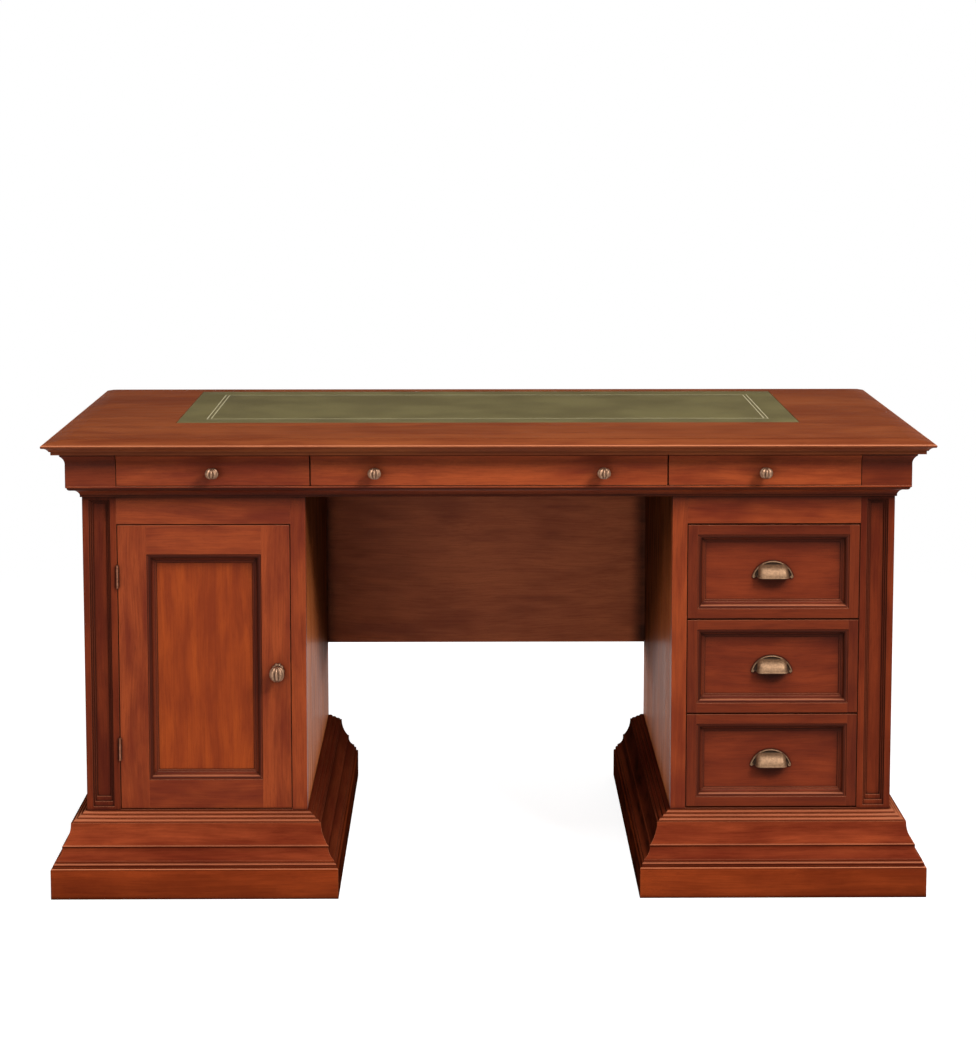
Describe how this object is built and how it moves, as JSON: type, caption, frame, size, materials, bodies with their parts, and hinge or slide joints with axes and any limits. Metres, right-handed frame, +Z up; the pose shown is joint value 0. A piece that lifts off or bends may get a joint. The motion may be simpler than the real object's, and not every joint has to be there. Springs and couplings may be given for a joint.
{
  "type": "pedestal desk",
  "caption": "Two-pedestal desk with a moulded wooden top, inset leather writing surface, frieze drawers, a framed-door cupboard and a bank of drawers.",
  "frame": {"origin": "on the floor under the middle of the desk", "axes": "+X along the desk with the drawer pedestal on +X, -Y towards the sitter on the drawer side, +Z up"},
  "size_m": [1.524, 0.762, 0.8],
  "materials": {
    "top_wood": "red-brown glazed and polished hardwood, worn gloss",
    "carcass_wood": "red-brown glazed and polished hardwood",
    "moulding_wood": "red-brown polished hardwood, dark glaze left in the hollows",
    "panel_wood": "figured cherry veneer, clear satin polish",
    "front_wood": "red-brown hardwood drawer and door fronts, satin polish",
    "base_wood": "dark red-brown hardwood base, polished",
    "inner_wood": "plain pale hardwood, unpolished",
    "leather": "olive green leather, satin, blind and gilt tooled border",
    "antique_brass": "aged brass, brushed high spots and brown recesses",
    "hinge_brass": "satin brass",
    "catch_plastic": "dark brown, matt",
    "strike_steel": "zinc plated, satin"
  },
  "bodies": {
    "root": {"top_edge_mouldings": "top_wood", "top_core_board": "top_wood", "writing_leather": "leather", "frieze_end_boards": "moulding_wood", "frieze_back_board": "moulding_wood", "frieze_corner_blocks": "moulding_wood", "necking_moulding": "moulding_wood", "frieze_drawer_guides": "inner_wood", "frieze_floor_board": "inner_wood", "pedestal_drawer_runners": "inner_wood", "modesty_panel": "carcass_wood", "left_pedestal_pilaster": "carcass_wood", "left_pedestal_outer_side": "carcass_wood", "left_pedestal_inner_side": "carcass_wood", "left_pedestal_back": "carcass_wood", "left_pedestal_face_frame": "carcass_wood", "left_pedestal_top_and_floor": "inner_wood", "left_pedestal_plinth_moulding": "moulding_wood", "left_pedestal_base_frame": "base_wood", "right_pedestal_pilaster": "carcass_wood", "right_pedestal_outer_side": "carcass_wood", "right_pedestal_inner_side": "carcass_wood", "right_pedestal_back": "carcass_wood", "right_pedestal_face_frame": "carcass_wood", "right_pedestal_top_and_floor": "inner_wood", "right_pedestal_plinth_moulding": "moulding_wood", "right_pedestal_base_frame": "base_wood", "hinge_frame_leaves": "hinge_brass", "hinge_pins": "hinge_brass", "shelf_pins": "hinge_brass", "cupboard_catch": "catch_plastic", "cupboard_shelf": "inner_wood"},
    "door": {"door_frame": "front_wood", "door_panel": "panel_wood", "door_panel_moulding": "front_wood", "door_knob": "antique_brass", "hinge_door_leaves": "hinge_brass", "door_catch_strike": "strike_steel"},
    "frieze_drawer_left": {"frieze_drawer_left_front": "front_wood", "frieze_drawer_left_box": "inner_wood", "frieze_drawer_left_knobs": "antique_brass"},
    "frieze_drawer_centre": {"frieze_drawer_centre_front": "front_wood", "frieze_drawer_centre_box": "inner_wood", "frieze_drawer_centre_knobs": "antique_brass"},
    "frieze_drawer_right": {"frieze_drawer_right_front": "front_wood", "frieze_drawer_right_box": "inner_wood", "frieze_drawer_right_knobs": "antique_brass"},
    "pedestal_drawer_1": {"pedestal_drawer_1_front": "front_wood", "pedestal_drawer_1_box": "inner_wood", "pedestal_drawer_1_bottom": "inner_wood", "pedestal_drawer_1_pull": "antique_brass"},
    "pedestal_drawer_2": {"pedestal_drawer_2_front": "front_wood", "pedestal_drawer_2_box": "inner_wood", "pedestal_drawer_2_bottom": "inner_wood", "pedestal_drawer_2_pull": "antique_brass"},
    "pedestal_drawer_3": {"pedestal_drawer_3_front": "front_wood", "pedestal_drawer_3_box": "inner_wood", "pedestal_drawer_3_bottom": "inner_wood", "pedestal_drawer_3_pull": "antique_brass"}
  },
  "joints": [
    {"name": "door_hinge", "type": "hinge", "parent": "root", "child": "door", "pos_m": [-0.64275, -0.3242, 0.4], "axis": [0, 0, -1], "range_deg": [0, 175]},
    {"name": "frieze_drawer_left_slide", "type": "slide", "parent": "root", "child": "frieze_drawer_left", "axis": [0, -1, 0], "range_m": [0, 0.36]},
    {"name": "frieze_drawer_centre_slide", "type": "slide", "parent": "root", "child": "frieze_drawer_centre", "axis": [0, -1, 0], "range_m": [0, 0.36]},
    {"name": "frieze_drawer_right_slide", "type": "slide", "parent": "root", "child": "frieze_drawer_right", "axis": [0, -1, 0], "range_m": [0, 0.36]},
    {"name": "pedestal_drawer_1_slide", "type": "slide", "parent": "root", "child": "pedestal_drawer_1", "axis": [0, -1, 0], "range_m": [0, 0.38]},
    {"name": "pedestal_drawer_2_slide", "type": "slide", "parent": "root", "child": "pedestal_drawer_2", "axis": [0, -1, 0], "range_m": [0, 0.38]},
    {"name": "pedestal_drawer_3_slide", "type": "slide", "parent": "root", "child": "pedestal_drawer_3", "axis": [0, -1, 0], "range_m": [0, 0.38]}
  ]
}
